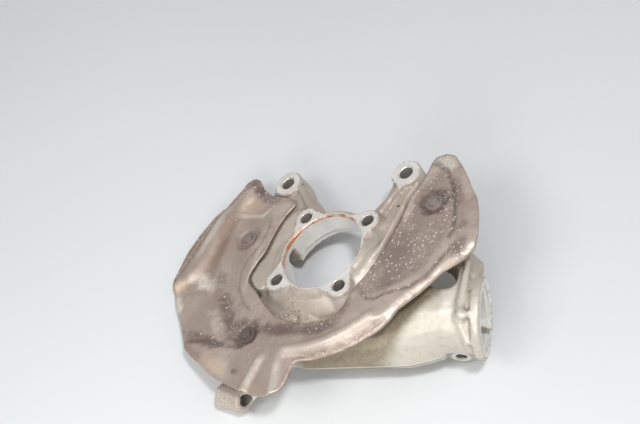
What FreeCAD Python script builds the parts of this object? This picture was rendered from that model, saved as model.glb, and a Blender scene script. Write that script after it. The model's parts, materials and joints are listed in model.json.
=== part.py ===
import os

import FreeCAD
import Part

# Aluminium front steering knuckle with its brake dust shield, lying on three feet.
# The hub frame has its origin at the centre of the hub bore on the outboard face, +Z outboard,
# +X towards the strut clamp and +Y towards the two brake caliper ears.
# The row frame shares that origin, and its +Z is the upright of the surface the part rests on.

doc = FreeCAD.newDocument("knuckle_with_dust_shield")
Vector = FreeCAD.Vector
Rotation = FreeCAD.Rotation
Placement = FreeCAD.Placement

REST_TILT = 19.27
DIMENSIONS = [
    ("rest_tilt", REST_TILT),
    ("hub_bore_radius", 44.3),
    ("hub_step_radius", 47.0),
    ("hub_ring_radius", 52.5),
    ("hub_depth", 34.0),
    ("hub_rim_chamfer", 4.5),
    ("bolt_circle", 110.0),
    ("bolt_hole_radius", 6.5),
    ("bolt_lobe_radius", 13.0),
    ("bolt_lobe_depth", 26.0),
    ("lobe_foot_radius", 21.0),
    ("ring_foot_radius", 60.0),
    ("skirt_radius", 86.0),
    ("skirt_top_radius", 57.0),
    ("ear_radius", 16.5),
    ("ear_hole_radius", 7.2),
    ("ear_face_drop", 5.0),
    ("ear_depth", 20.0),
    ("ear_foot_radius", 12.0),
    ("ear_foot_depth", 16.4),
    ("left_ear_east", -92.0),
    ("left_ear_north", 88.0),
    ("right_ear_east", 56.0),
    ("right_ear_north", 104.0),
    ("ear_arm_depth", 16.0),
    ("tube_bore_radius", 28.8),
    ("collar_radius", 39.7),
    ("collar_depth", 9.0),
    ("tube_radius", 35.0),
    ("tube_length", 44.0),
    ("tube_step_radius", 30.8),
    ("tube_step_depth", 4.0),
    ("slit_width", 5.0),
    ("pinch_radius", 14.0),
    ("pinch_half_width", 24.5),
    ("pinch_hole_radius", 5.5),
    ("tie_boss_radius", 13.0),
    ("tie_boss_length", 30.0),
    ("tie_hole_radius", 6.5),
    ("ball_boss_radius", 12.0),
    ("ball_boss_length", 26.0),
    ("ball_hole_radius", 7.0),
    ("sheet", 1.8),
    ("shield_plane", -5.0),
    ("dimple_radius", 15.0),
    ("dimple_depth", 5.0),
    ("screw_radius", 3.0),
    ("screw_length", 16.0),
    ("screw_flange_radius", 9.0),
    ("screw_flange_height", 1.5),
    ("screw_hexagon_radius", 5.8),
    ("screw_head_height", 4.5),
]

sheet = doc.addObject("Spreadsheet::Sheet", "Dimensions")
for row_number, (alias, value) in enumerate(DIMENSIONS, start=1):
    sheet.set("A%d" % row_number, alias)
    sheet.set("B%d" % row_number, str(value))
    sheet.setAlias("B%d" % row_number, alias)
doc.recompute()


def bind(obj, **links):
    for name, expression in links.items():
        obj.setExpression(name.replace("__", "."), expression)
    return obj


def place(obj, position=(0, 0, 0), rotation=None):
    obj.Placement = Placement(Vector(*position), rotation or Rotation())
    return obj


def cylinder(name, radius, height, position=(0, 0, 0), rotation=None):
    obj = doc.addObject("Part::Cylinder", name)
    place(obj, position, rotation)
    return bind(obj, Radius=radius, Height=height)


def box(name, size, position=(0, 0, 0), rotation=None):
    obj = doc.addObject("Part::Box", name)
    obj.Length, obj.Width, obj.Height = size
    return place(obj, position, rotation)


def outline(name, points, height=0.0, rotation=None):
    """A closed polygon through the points, flat at the given height."""
    obj = doc.addObject("Part::Polygon", name)
    obj.Nodes = [Vector(x, y, height) for x, y in points]
    obj.Close = True
    if rotation:
        obj.Placement = Placement(Vector(), rotation)
    return obj


def curve(name, points, placement=None):
    """A sketch holding one smooth closed curve through the points."""
    obj = doc.addObject("Sketcher::SketchObject", name)
    spline = Part.BSplineCurve()
    spline.interpolate([Vector(x, y, 0) for x, y in points], PeriodicFlag=True)
    obj.addGeometry(spline, False)
    if placement:
        obj.Placement = placement
    return obj


def at_height(z):
    return Placement(Vector(0, 0, z), Rotation())


def rounded(points, steps=2):
    """The closed polygon through the points with its corners rounded off by extra points."""
    result = []
    count = len(points)
    for i in range(count):
        p0, p1, p2, p3 = (points[(i + k) % count] for k in (-1, 0, 1, 2))
        for step in range(steps):
            t = step / steps
            result.append(tuple(
                0.5 * (2 * p1[k] + (p2[k] - p0[k]) * t + (2 * p0[k] - 5 * p1[k] + 4 * p2[k] - p3[k]) * t * t
                       + (3 * p1[k] - p0[k] - 3 * p2[k] + p3[k]) * t ** 3)
                for k in (0, 1)
            ))
    return result


def section(name, points, placement, steps=2):
    """A closed polygon with rounded corners, set down at the placement."""
    obj = outline(name, rounded(points, steps))
    obj.Placement = placement
    return obj


def loft(name, sections):
    obj = doc.addObject("Part::Loft", name)
    obj.Sections = sections
    obj.Solid = True
    obj.Ruled = True
    return obj


def drafted(name, points, low, high, growth, steps=2):
    """A solid with sloping sides: the outline at the low height, the grown outline at the high one."""
    low_end = section(name + "_low", points, at_height(low), steps)
    high_end = section(name + "_high", grown(points, growth), at_height(high), steps)
    return loft(name, [low_end, high_end])


def prism(name, profile, length, up=(0, 0, 1)):
    obj = doc.addObject("Part::Extrusion", name)
    obj.Base = profile
    obj.DirMode = "Custom"
    obj.Dir = Vector(*up)
    obj.Solid = True
    if isinstance(length, str):
        bind(obj, LengthFwd=length)
    else:
        obj.LengthFwd = length
    return obj


def grown(points, distance):
    """The closed polygon through the points with each side moved outwards by the distance."""
    area = sum(a[0] * b[1] - b[0] * a[1] for a, b in zip(points, points[1:] + points[:1]))
    way = 1.0 if area > 0 else -1.0
    result = []
    for before, here, after in zip(points[-1:] + points[:-1], points, points[1:] + points[:1]):
        first = Vector(here[0] - before[0], here[1] - before[1], 0).normalize()
        second = Vector(after[0] - here[0], after[1] - here[1], 0).normalize()
        outward = Vector(first.y + second.y, -first.x - second.x, 0).normalize()
        stretch = max(0.6, outward.dot(Vector(first.y, -first.x, 0)))
        reach = way * distance / stretch
        result.append((here[0] + outward.x * reach, here[1] + outward.y * reach))
    return result


def fuse(name, shapes):
    obj = doc.addObject("Part::MultiFuse", name)
    obj.Shapes = shapes
    obj.Refine = True
    return obj


def cut(name, base, tool):
    obj = doc.addObject("Part::Cut", name)
    obj.Base = base
    obj.Tool = tool
    obj.Refine = True
    return obj


def common(name, shapes):
    obj = doc.addObject("Part::MultiCommon", name)
    obj.Shapes = shapes
    obj.Refine = True
    return obj


def lay_down(obj):
    """Turn an object of the hub frame into the row frame."""
    bind(obj, Placement__Rotation__Angle="Dimensions.rest_tilt")
    obj.Placement = Placement(Vector(), Rotation(Vector(0, -1, 0), REST_TILT))
    return obj


def laid_along(name, radius, height, position):
    """A cylinder of the row frame whose length runs along the hub frame's +X."""
    obj = cylinder(name, radius, height, position, Rotation(Vector(0, 1, 0), 90 - REST_TILT))
    return bind(obj, Placement__Rotation__Angle="90 - Dimensions.rest_tilt")


# Hub ring, bolt lobes and the skirt that spreads from the ring

hub_ring = cylinder("hub_ring", "Dimensions.hub_ring_radius",
                    "Dimensions.hub_depth - Dimensions.hub_rim_chamfer")
bind(hub_ring, Placement__Base__z="-Dimensions.hub_depth")
hub_rim = doc.addObject("Part::Cone", "hub_rim")
bind(
    hub_rim,
    Radius1="Dimensions.hub_ring_radius",
    Radius2="Dimensions.hub_ring_radius - Dimensions.hub_rim_chamfer",
    Height="Dimensions.hub_rim_chamfer",
    Placement__Base__z="-Dimensions.hub_rim_chamfer",
)

QUARTERS = ((-1, 1), (1, 1), (-1, -1), (1, -1))
BOLT_SHARE = 0.353553


def at_bolt(obj, side, way):
    """Move an object over one of the four bolt places."""
    return bind(
        obj,
        Placement__Base__x="%d * Dimensions.bolt_circle * %s" % (side, BOLT_SHARE),
        Placement__Base__y="%d * Dimensions.bolt_circle * %s" % (way, BOLT_SHARE),
    )


# Each bolt lobe stands on a spreading foot and its face runs into the ring's face over a web
LOBE_WEB = [(46.4, 18.7), (49.1, 31.0), (45, 45), (31.0, 49.1), (18.7, 46.4), (30, 30)]
WEB_DEPTH = 22.0
lobes = []
for number, (side, way) in enumerate(QUARTERS, start=1):
    lobe = cylinder("bolt_lobe_%d" % number, "Dimensions.bolt_lobe_radius", "Dimensions.bolt_lobe_depth")
    bind(lobe, Placement__Base__z="-Dimensions.bolt_lobe_depth")
    foot = doc.addObject("Part::Cone", "lobe_foot_%d" % number)
    foot.Height = 16.0
    place(foot, (0, 0, -21))
    bind(foot, Radius1="Dimensions.lobe_foot_radius", Radius2="Dimensions.bolt_lobe_radius - 0.5")
    corners = [(side * x, way * y) for x, y in LOBE_WEB]
    web = prism("bolt_web_%d" % number, outline("web_profile_%d" % number, corners, -WEB_DEPTH), WEB_DEPTH)
    lobes += [at_bolt(lobe, side, way), at_bolt(foot, side, way), web]

ring_foot = doc.addObject("Part::Cone", "ring_foot")
ring_foot.Height = 18.0
place(ring_foot, (0, 0, -22))
bind(ring_foot, Radius1="Dimensions.ring_foot_radius", Radius2="Dimensions.hub_ring_radius - 1")

skirt = doc.addObject("Part::Cone", "hub_skirt")
skirt.Height = 28.0
skirt.Angle = 238.0
place(skirt, (0, 0, -32), Rotation(Vector(0, 0, 1), 172))
bind(skirt, Radius1="Dimensions.skirt_radius", Radius2="Dimensions.skirt_top_radius")

# Caliper ears and the arms that carry them

EAR_ARMS = {
    "left": [(-22, 46), (-38, 64), (-57, 79), (-75, 97), (-98, 98), (-105, 80), (-94, 54), (-90, 28),
             (-86, 2), (-72, -16), (-40, 6)],
    "right": [(22, 46), (34, 62), (42, 84), (44, 106), (66, 110), (74, 92), (72, 66), (68, 40), (60, 12),
              (36, 16)],
}
ear_parts = []
for side in ("left", "right"):
    ear = cylinder("%s_ear" % side, "Dimensions.ear_radius", "Dimensions.ear_depth")
    bind(
        ear,
        Placement__Base__x="Dimensions.%s_ear_east" % side,
        Placement__Base__y="Dimensions.%s_ear_north" % side,
        Placement__Base__z="-Dimensions.ear_face_drop - Dimensions.ear_depth",
    )
    foot = cylinder("%s_ear_foot" % side, "Dimensions.ear_foot_radius", "Dimensions.ear_foot_depth")
    bind(
        foot,
        Placement__Base__x="Dimensions.%s_ear_east" % side,
        Placement__Base__y="Dimensions.%s_ear_north" % side,
        Placement__Base__z="-Dimensions.ear_face_drop - Dimensions.ear_depth - Dimensions.ear_foot_depth",
    )
    arm_profile = curve("%s_arm_profile" % side, EAR_ARMS[side], at_height(-27))
    ear_arm = prism("%s_ear_arm" % side, arm_profile, "Dimensions.ear_arm_depth")
    ear_parts += [ear, foot, ear_arm]

# Raised spines from the bolt lobes to the ears, the bead that borders the right arm at the shield, and
# the flank that fills the left side between the ring and the shield's edge
SPINES = {
    "left": [(-24, 46), (-40, 62), (-58, 77), (-72, 90), (-80, 84), (-66, 70), (-50, 54), (-36, 42)],
    "right": [(37, 50), (43, 66), (48, 82), (52, 92), (59, 92), (57, 80), (52, 64), (47, 48)],
}
BEAD = [(61.5, -4), (65.7, 8), (69.1, 30), (70.9, 45), (72, 60), (72.7, 72), (76.3, 86), (78, 93), (73, 92),
        (69, 84), (66, 72), (64.8, 58), (64, 44), (62.5, 28), (59.5, 10), (56, -2)]
LEFT_FLANK = [(-40, 46), (-60, 56), (-69.6, 46), (-73.2, 34), (-74.4, 19), (-74.4, -4), (-78, -17.5),
              (-80.2, -32), (-78, -40), (-62, -50), (-46, -36), (-46, 0)]
left_flank = drafted("left_flank", LEFT_FLANK, -26, -6.5, -1.0)
left_spine = drafted("left_spine", SPINES["left"], -12, -6, -2.5)
right_spine = drafted("right_spine", SPINES["right"], -12, -5, -1.8)
arm_bead = drafted("arm_bead", BEAD, -24, -4, -1.2)

# Lower ball joint boss and the lug of casting around it
ball_root_profile = curve(
    "ball_root_profile",
    [(-60, 34), (-96, 28), (-118, 24), (-121, 6), (-112, -4), (-108, -30), (-92, -44), (-64, -46),
     (-50, -6)],
    at_height(-34),
)
ball_root = prism("ball_root", ball_root_profile, 21.5)
ball_boss = cylinder("ball_boss", "Dimensions.ball_boss_radius", "Dimensions.ball_boss_length",
                     (-114, -20, -24), Rotation(Vector(0, 1, 0), 90))

# Raised pads the three shield screws bite into
SCREWS = {"left": (-111.0, 13.0), "bottom": (-50.0, -101.0), "right": (101.0, 69.0)}
pads = []
for name, (east, north) in SCREWS.items():
    pad = doc.addObject("Part::Cylinder", "%s_pad" % name)
    place(pad, (east, north, -34))
    bind(pad, Radius="Dimensions.dimple_radius - 3")
    bind(pad, Height="34 + Dimensions.shield_plane - Dimensions.dimple_depth - Dimensions.sheet")
    pads.append(pad)

right_pad_root_profile = curve(
    "right_pad_root_profile",
    [(50, 30), (60, 66), (84, 80), (104, 84), (116, 72), (110, 56), (88, 40), (70, 14)],
    at_height(-33),
)
right_pad_root = prism("right_pad_root", right_pad_root_profile, 14.0)
bottom_pad_root_profile = curve(
    "bottom_pad_root_profile",
    [(-66, -52), (-74, -78), (-68, -108), (-50, -118), (-30, -112), (-6, -98), (-14, -66), (-40, -44)],
    at_height(-33),
)
bottom_pad_root = prism("bottom_pad_root", bottom_pad_root_profile, 16.0)

hub_group = fuse(
    "hub_group",
    [hub_ring, hub_rim, ring_foot, skirt, left_flank, left_spine, right_spine, arm_bead, ball_root,
     ball_boss, right_pad_root, bottom_pad_root] + lobes + ear_parts + pads,
)
lay_down(hub_group)

# Strut clamp: a split tube whose mouth looks along +X, with two pinch lugs on its inboard side

AXIS = Vector(0.9645, 0.2370, 0.1168).normalize()
BOLT = Vector(0.0992, 0.0851, -0.9914).cross(AXIS).normalize()
SPLIT = AXIS.cross(BOLT)
MOUTH = Vector(176.4, -16.8, -16.4)
ALONG_TUBE = Rotation(BOLT, SPLIT, AXIS * -1, "ZXY")
ALONG_BOLT = Rotation(AXIS, SPLIT, BOLT * -1, "ZXY")
ACROSS_SPLIT = Rotation(AXIS, BOLT, SPLIT, "ZXY")


def from_mouth(back, split, bolt):
    point = MOUTH - AXIS * back + SPLIT * split + BOLT * bolt
    return (point.x, point.y, point.z)


# The casting is flat between the collar and the pinch lug, facing halfway between bolt and split
FLANK = (SPLIT * 0.387 + BOLT * 0.922).normalize()
ALONG_FLANK = Rotation(AXIS, FLANK.cross(AXIS), FLANK, "ZXY")


def from_flank(back, along, out):
    point = MOUTH - AXIS * back + FLANK.cross(AXIS) * along + FLANK * out
    return (point.x, point.y, point.z)


tube = cylinder("strut_tube", "Dimensions.tube_radius", "Dimensions.tube_length - 1", from_mouth(1, 0, 0),
                ALONG_TUBE)
collar = cylinder("strut_collar", "Dimensions.collar_radius", "Dimensions.collar_depth - 2",
                  from_mouth(2, 0, 0), ALONG_TUBE)
collar_rim = doc.addObject("Part::Cone", "strut_collar_rim")
collar_rim.Height = 2.0
place(collar_rim, from_mouth(0, 0, 0), ALONG_TUBE)
bind(collar_rim, Radius1="Dimensions.collar_radius - 2", Radius2="Dimensions.collar_radius")
lug = cylinder("pinch_lug", "Dimensions.pinch_radius", "2 * Dimensions.pinch_half_width",
               from_mouth(29.7, 38.5, 24.5), ALONG_BOLT)
lug_web = box("pinch_lug_web", (28, 46, 29), from_mouth(43.7, 10, -23), ACROSS_SPLIT)

# Arm between the hub and the strut clamp: a smooth thick body lofted through cross sections

ARM_SECTIONS = [
    (4, [(-114, -34), (-110, -22), (-98, -16), (-76, -13), (-56, -14), (-46, -18), (-43, -28),
         (-48, -38), (-62, -44), (-84, -47), (-106, -46)]),
    (26, [(-112, -36), (-108, -22), (-92, -14), (-52, -10), (0, -12), (40, -16), (58, -24), (48, -38),
          (0, -44), (-60, -49), (-102, -48)]),
    (62, [(-99, -37), (-95, -24), (-80, -9), (-46, -1), (-4, -3), (36, -6), (58, -16), (48, -34),
          (0, -46), (-50, -52), (-89, -50)]),
    (98, [(-86, -38), (-83, -23), (-68, -4), (-44, 4), (-14, 4), (24, 1), (50, -10), (42, -32),
          (0, -48), (-46, -54), (-76, -51)]),
    (120, [(-78, -38), (-75, -22), (-62, 0), (-42, 11), (-15, 13), (18, 8), (46, -4), (36, -30),
           (-2, -48), (-42, -54), (-68, -51)]),
    (138, [(-68, -36), (-66, -18), (-54, 4), (-38, 14), (-14, 16.5), (16, 13), (43, 2), (30, -26),
           (-6, -46), (-40, -52), (-60, -48)]),
    (160, [(-53, -32), (-52, -16), (-46, 2), (-32, 13), (-14, 15), (8, 13), (31, 0), (22, -22),
           (-8, -42), (-36, -46), (-48, -42)]),
]
SECTION_TURN = Rotation(Vector(0, 1, 0), Vector(0, 0, 1), Vector(1, 0, 0), "ZXY")
sections = []
for number, (east, points) in enumerate(ARM_SECTIONS, start=1):
    sections.append(section("arm_section_%d" % number, points, Placement(Vector(east, 0, 0), SECTION_TURN)))
arm_loft = loft("strut_arm", sections)

# Steering arm down to the tie rod boss
tie_boss = laid_along("tie_boss", "Dimensions.tie_boss_radius", "Dimensions.tie_boss_length",
                      (-55.8, -155.6, -61.1))
TIE_SECTIONS = [
    ((-6, -84.3, -30), [(-30, -14), (-20, 12), (6, 16), (26, 10), (30, -8), (6, -17)]),
    ((-14, -112, -37), [(-22, -11), (-16, 9), (4, 12), (18, 8), (19, -8), (2, -13)]),
    ((-29, -138, -48), [(-15, -10), (-12, 7), (0, 10), (12, 8), (15, -6), (0, -12)]),
    ((-38, -155.3, -56), [(-13, -9), (-11, 7), (0, 9), (11, 7), (13, -6), (0, -10)]),
]
tie_sections = []
for number, (position, points) in enumerate(TIE_SECTIONS, start=1):
    turn = Rotation(Vector(0.83, -0.55, 0.0), Vector(0, 0, 1), Vector(-0.55, -0.83, 0), "ZXY")
    tie_sections.append(section("tie_section_%d" % number, points, Placement(Vector(*position), turn), 3))
tie_arm = loft("steering_arm", tie_sections)

# Small round cast pad on the clamp, the bar that runs from it to the collar, and the upright rib
arm_pad = cylinder("arm_pad", "5", "24", (157.5, -36.5, -3), Rotation(Vector(0, 1, 0), 8))
arm_bar = cylinder("arm_bar", "4.6", "30", (154.5, -35.5, 12.5),
                   Rotation(Vector(0, 0, 1), Vector(17, -18, -19)))
RIB = [(146, 13), (147.5, 0), (150, -16), (152, -32), (156, -40), (161, -36), (160, -24), (158, -12),
       (155.5, 2), (152, 20), (146, 38), (136, 40)]
arm_rib = drafted("arm_rib", RIB, -12, 19.5, -1.2)

strut_body = fuse("strut_body", [arm_loft, tube])
flank = box("flank_room", (27, 60, 30), from_flank(38, -34, 33.5), ALONG_FLANK)
trimmed_body = cut("trimmed_body", strut_body, flank)
clamp_ends = fuse("clamp_ends", [collar, collar_rim, lug, lug_web])
strut_side = fuse("strut_side", [trimmed_body, clamp_ends])
ribbed_strut_side = fuse("ribbed_strut_side", [strut_side, arm_pad, arm_bar, arm_rib])
steering_side = fuse("steering_side", [tie_arm, tie_boss])
hub_and_steering = fuse("hub_and_steering", [hub_group, steering_side])
solid_group = fuse("solid_group", [hub_and_steering, ribbed_strut_side])

# Everything taken out of the casting

hub_bore = cylinder("hub_bore", "Dimensions.hub_bore_radius", "80", (0, 0, -70))
hub_step = cylinder("hub_step", "Dimensions.hub_step_radius", "60", (0, 0, -86))
sensor_slot = box("sensor_slot", (26, 15, 24), (-66, -10, -34), Rotation(Vector(0, 0, 1), 2))

bolt_holes = []
for number, (side, way) in enumerate(QUARTERS, start=1):
    hole = cylinder("bolt_hole_%d" % number, "Dimensions.bolt_hole_radius", "90", (0, 0, -80))
    bolt_holes.append(at_bolt(hole, side, way))

ear_holes = []
for side in ("left", "right"):
    hole = cylinder("%s_ear_hole" % side, "Dimensions.ear_hole_radius", "80", (0, 0, -70))
    bind(
        hole,
        Placement__Base__x="Dimensions.%s_ear_east" % side,
        Placement__Base__y="Dimensions.%s_ear_north" % side,
    )
    ear_holes.append(hole)

ball_hole = cylinder("ball_hole", "Dimensions.ball_hole_radius", "60", (-130, -20, -24),
                     Rotation(Vector(0, 1, 0), 90))
screw_holes = []
for name, (east, north) in SCREWS.items():
    screw_holes.append(
        cylinder("%s_screw_hole" % name, "Dimensions.screw_radius", "40", (east, north, -28))
    )

hub_cuts = fuse(
    "hub_cuts",
    [hub_bore, hub_step, sensor_slot, ball_hole] + bolt_holes + ear_holes + screw_holes,
)
lay_down(hub_cuts)

tube_bore = cylinder("tube_bore", "Dimensions.tube_bore_radius", "80", from_mouth(-10, 0, 0), ALONG_TUBE)
tube_step = cylinder("tube_step", "Dimensions.tube_step_radius", "Dimensions.tube_step_depth + 10",
                     from_mouth(-10, 0, 0), ALONG_TUBE)
slit = box("clamp_slit", (70, 5, 60), from_mouth(58, 10, -2.5), ACROSS_SPLIT)
bind(slit, Width="Dimensions.slit_width")
pinch_hole = cylinder("pinch_hole", "Dimensions.pinch_hole_radius", "100", from_mouth(29.7, 38.5, 50),
                      ALONG_BOLT)
tie_hole = laid_along("tie_hole", "Dimensions.tie_hole_radius", "60", (-74.7, -155.6, -67.7))

WINDOW = [(146, 3), (145, -9), (138, -14), (124, -14), (108, -12), (96, -2), (96, 14), (110, 24), (128, 24),
          (141, 16)]
window_top = section("window_top", WINDOW, Placement(Vector(2, -4, 45), Rotation()))
window_foot = section("window_foot", WINDOW, Placement(Vector(-16, 12, -90), Rotation()))
window = loft("arm_window", [window_foot, window_top])

# Pocket on the underside that leaves the arm as a hollow casting
POCKET = [(66, -28), (68, -74), (92, -68), (112, -56), (114, -32), (92, -27)]
pocket = drafted("arm_pocket", POCKET, -90, -14, -4.0)

arm_cuts = fuse("arm_cuts", [tie_hole, window, pocket])
clamp_cuts = fuse("clamp_cuts", [tube_bore, tube_step, slit, pinch_hole])

hollowed = cut("hollowed", solid_group, hub_cuts)
opened = cut("opened", hollowed, arm_cuts)
knuckle = cut("knuckle", opened, clamp_cuts)

# Dust shield: a pressed sheet. Its top surface is the top of a solid block, and the sheet is what is
# left of that block after the same block, moved down by one sheet, is taken away.

SHIELD_EDGE = [
    (81, 100), (82, 106), (83, 119), (86, 124), (95, 128), (106, 126), (116, 116), (129, 100),
    (139, 85), (148, 74), (156, 56), (162, 35), (163, 19), (156, 6), (139, -10), (124, -32), (108, -53),
    (104, -64), (96, -77), (78, -93), (59, -106), (39, -116), (23, -123), (23, -134), (23, -147),
    (18, -157), (7, -162), (-8, -163), (-29, -160), (-63, -153), (-88, -142), (-107, -134),
    (-119, -127), (-123, -122), (-135, -107), (-145, -96), (-164, -77), (-177, -57), (-182, -40),
    (-183, -14), (-177, 16), (-169, 36), (-158, 47), (-152, 63), (-149, 85), (-141, 92), (-132, 90),
    (-122, 79), (-104, 70), (-88, 69), (-73, 66), (-66, 60), (-72, 47), (-75, 34), (-76, 19), (-76, -4),
    (-80, -18), (-82, -32), (-80, -42), (-59, -55), (-44, -67), (-22, -79), (10, -83), (36, -77),
    (47, -69), (51, -60), (53, -45), (53, -30), (63, -5), (66, 8), (71, 40), (73, 72),
]
shield_outline = outline("shield_outline", SHIELD_EDGE, -60)
shield_prism = prism("shield_block", shield_outline, 100.0)

# Block heights: the flat plane first, then the pressed-in and pressed-out areas
plate = box("plate_block", (420, 360, 50), (-210, -180, -55))
bind(plate, Placement__Base__z="Dimensions.shield_plane - 50")

DENTS = {
    "right_recess": ([(88, 112), (98, 114), (106, 104), (118, 86), (128, 64), (132, 40), (128, 18),
                      (122, -4), (104, -26), (86, -36), (70, -42), (60, -36), (66, -14), (70, 14),
                      (74, 40), (78, 68)], 3.5),
    "left_valley": ([(-98, 72), (-92, 44), (-94, 20), (-98, 0), (-98, -22), (-86, -42), (-70, -62),
                     (-46, -78), (-34, -94), (-34, -110), (-62, -118), (-84, -108), (-96, -80),
                     (-110, -60), (-120, -36), (-128, -4), (-132, 30), (-134, 58), (-124, 76)], 3.0),
    "radial_valley": ([(-124, -36), (-114, -61), (-95, -79), (-76, -96), (-72, -88), (-91, -73),
                       (-108, -57), (-118, -37)], 4.6),
    "bottom_crease": ([(-126, -121), (-96, -115.5), (-70, -113), (-69, -117), (-96, -120.5), (-123, -127)],
                      2.0),
}
RIM_TURN = [(174, 58), (171, 40), (166, 22), (159, 6), (141, -11), (125, -33), (110, -54), (105, -65),
            (97, -78), (79, -94), (60, -107), (43, -118), (32, -128), (33, -150), (80, -170), (160, -110),
            (210, -20), (200, 60)]
dents = []
for name, (points, depth) in DENTS.items():
    dents.append(drafted(name, points, -5.0 - depth, 7.0 - depth, 13.0))
dents.append(drafted("rim_turn", RIM_TURN, -12.0, 0.0, 13.0, 1))
dimples = []
for name, (east, north) in SCREWS.items():
    dimple = doc.addObject("Part::Cone", "%s_dimple" % name)
    place(dimple, (east, north, -10))
    dimple.Height = 16.0
    bind(
        dimple,
        Radius1="Dimensions.dimple_radius - Dimensions.dimple_depth",
        Radius2="Dimensions.dimple_radius - Dimensions.dimple_depth + 16",
        Placement__Base__z="Dimensions.shield_plane - Dimensions.dimple_depth",
    )
    dimples.append(dimple)

RIDGES = {
    "lower_ridge": ([(-24, -104), (-2, -99), (16, -96), (36, -88), (54, -76), (70, -62), (84, -51),
                     (96, -46), (104, -51), (96, -67), (78, -85), (60, -99), (36, -111), (12, -118),
                     (-8, -115)], 5.0),
    "left_flange": ([(-132, 104), (-170, 86), (-200, 16), (-212, -20), (-214, -80), (-190, -74),
                     (-168, -56), (-153, -34), (-149, -4), (-147, 24), (-134, 66)], 5.0),
    "lobe_rib_west": ([(-32, -124), (-18, -124), (-8, -154), (-24, -158)], 3.0),
    "lobe_rib_east": ([(0, -122), (14, -122), (18, -150), (2, -156)], 3.0),
}
ridges = []
for name, (points, rise) in RIDGES.items():
    ridges.append(drafted(name, points, -5.0, -5.0 + rise, -0.8 * rise))

block = fuse("raised_block", [plate] + ridges)
dent_tools = fuse("dent_tools", dents + dimples)
pressed = cut("pressed_block", block, dent_tools)

lowered = doc.addObject("Part::Compound", "lowered_block")
lowered.Links = [pressed]
bind(lowered, Placement__Base__z="-Dimensions.sheet")

layer = cut("sheet_layer", pressed, lowered)
trimmed = common("trimmed_sheet", [layer, shield_prism])
shield_holes = []
for name, (east, north) in SCREWS.items():
    shield_holes.append(
        cylinder("%s_shield_hole" % name, "Dimensions.screw_radius + 0.5", "40", (east, north, -28))
    )
shield_hole_set = fuse("shield_holes", shield_holes)
dust_shield = cut("dust_shield", trimmed, shield_hole_set)
lay_down(dust_shield)

# Three identical hexagon screws with flanges hold the shield: separate solids of one node

screw_solids = []
for name, (east, north) in SCREWS.items():
    shank = cylinder("%s_shank" % name, "Dimensions.screw_radius", "Dimensions.screw_length",
                     (east, north, 0))
    bind(
        shank,
        Placement__Base__z="Dimensions.shield_plane - Dimensions.dimple_depth - Dimensions.screw_length",
    )
    flange = cylinder("%s_flange" % name, "Dimensions.screw_flange_radius", "Dimensions.screw_flange_height",
                      (east, north, 0))
    bind(flange, Placement__Base__z="Dimensions.shield_plane - Dimensions.dimple_depth")
    head = doc.addObject("Part::Prism", "%s_head" % name)
    head.Polygon = 6
    place(head, (east, north, 0))
    bind(
        head,
        Circumradius="Dimensions.screw_hexagon_radius",
        Height="Dimensions.screw_head_height",
        Placement__Base__z="Dimensions.shield_plane - Dimensions.dimple_depth",
    )
    screw_solids.append(fuse("%s_screw" % name, [shank, flange, head]))
screw_set = doc.addObject("Part::Compound", "shield_screws")
screw_set.Links = screw_solids
lay_down(screw_set)

NODES = {"knuckle": knuckle, "dust_shield": dust_shield, "shield_screws": screw_set}
LABELS = {
    "knuckle": "steering knuckle casting",
    "dust_shield": "brake dust shield",
    "shield_screws": "three shield screws",
}
for name, obj in NODES.items():
    obj.Label = LABELS[name]

doc.recompute()

faults = []
for obj in doc.Objects:
    if "Invalid" in obj.State or "Error" in obj.State:
        faults.append("%s did not rebuild: %s" % (obj.Name, obj.State))
    shape = getattr(obj, "Shape", None)
    if shape is not None and (shape.isNull() or not shape.isValid()):
        faults.append("%s has no valid shape" % obj.Name)
if faults:
    raise RuntimeError("; ".join(faults))

os.makedirs("parts", exist_ok=True)
for name, obj in NODES.items():
    shape = obj.Shape
    print(name, "solids", len(shape.Solids), "volume", round(shape.Volume / 1000.0, 1), "cm3",
          "box", [round(v, 1) for v in (shape.BoundBox.XMin, shape.BoundBox.XMax, shape.BoundBox.YMin,
                                         shape.BoundBox.YMax, shape.BoundBox.ZMin, shape.BoundBox.ZMax)])
    shape.exportStep("parts/%s.step" % name)
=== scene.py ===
import json
import math

import bmesh
import bpy
import numpy as np
from mathutils import Matrix, Vector, geometry


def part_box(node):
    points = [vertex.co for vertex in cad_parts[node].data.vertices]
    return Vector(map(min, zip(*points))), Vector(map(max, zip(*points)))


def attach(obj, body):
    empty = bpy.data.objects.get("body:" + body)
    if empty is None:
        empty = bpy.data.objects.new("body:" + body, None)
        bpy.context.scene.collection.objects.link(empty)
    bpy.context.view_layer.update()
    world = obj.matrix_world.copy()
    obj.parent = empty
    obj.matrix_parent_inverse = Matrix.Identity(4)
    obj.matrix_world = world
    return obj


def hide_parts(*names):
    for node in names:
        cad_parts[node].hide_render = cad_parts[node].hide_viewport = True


# Looks of an aluminium steering knuckle and its pressed brake dust shield, lying on a pale table.
# Lengths here are millimetres in the hub frame (origin at the hub bore, +Z outboard) unless a name says
# otherwise. MM turns them into Blender's metres, and HUB turns the hub frame into the row frame.

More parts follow.
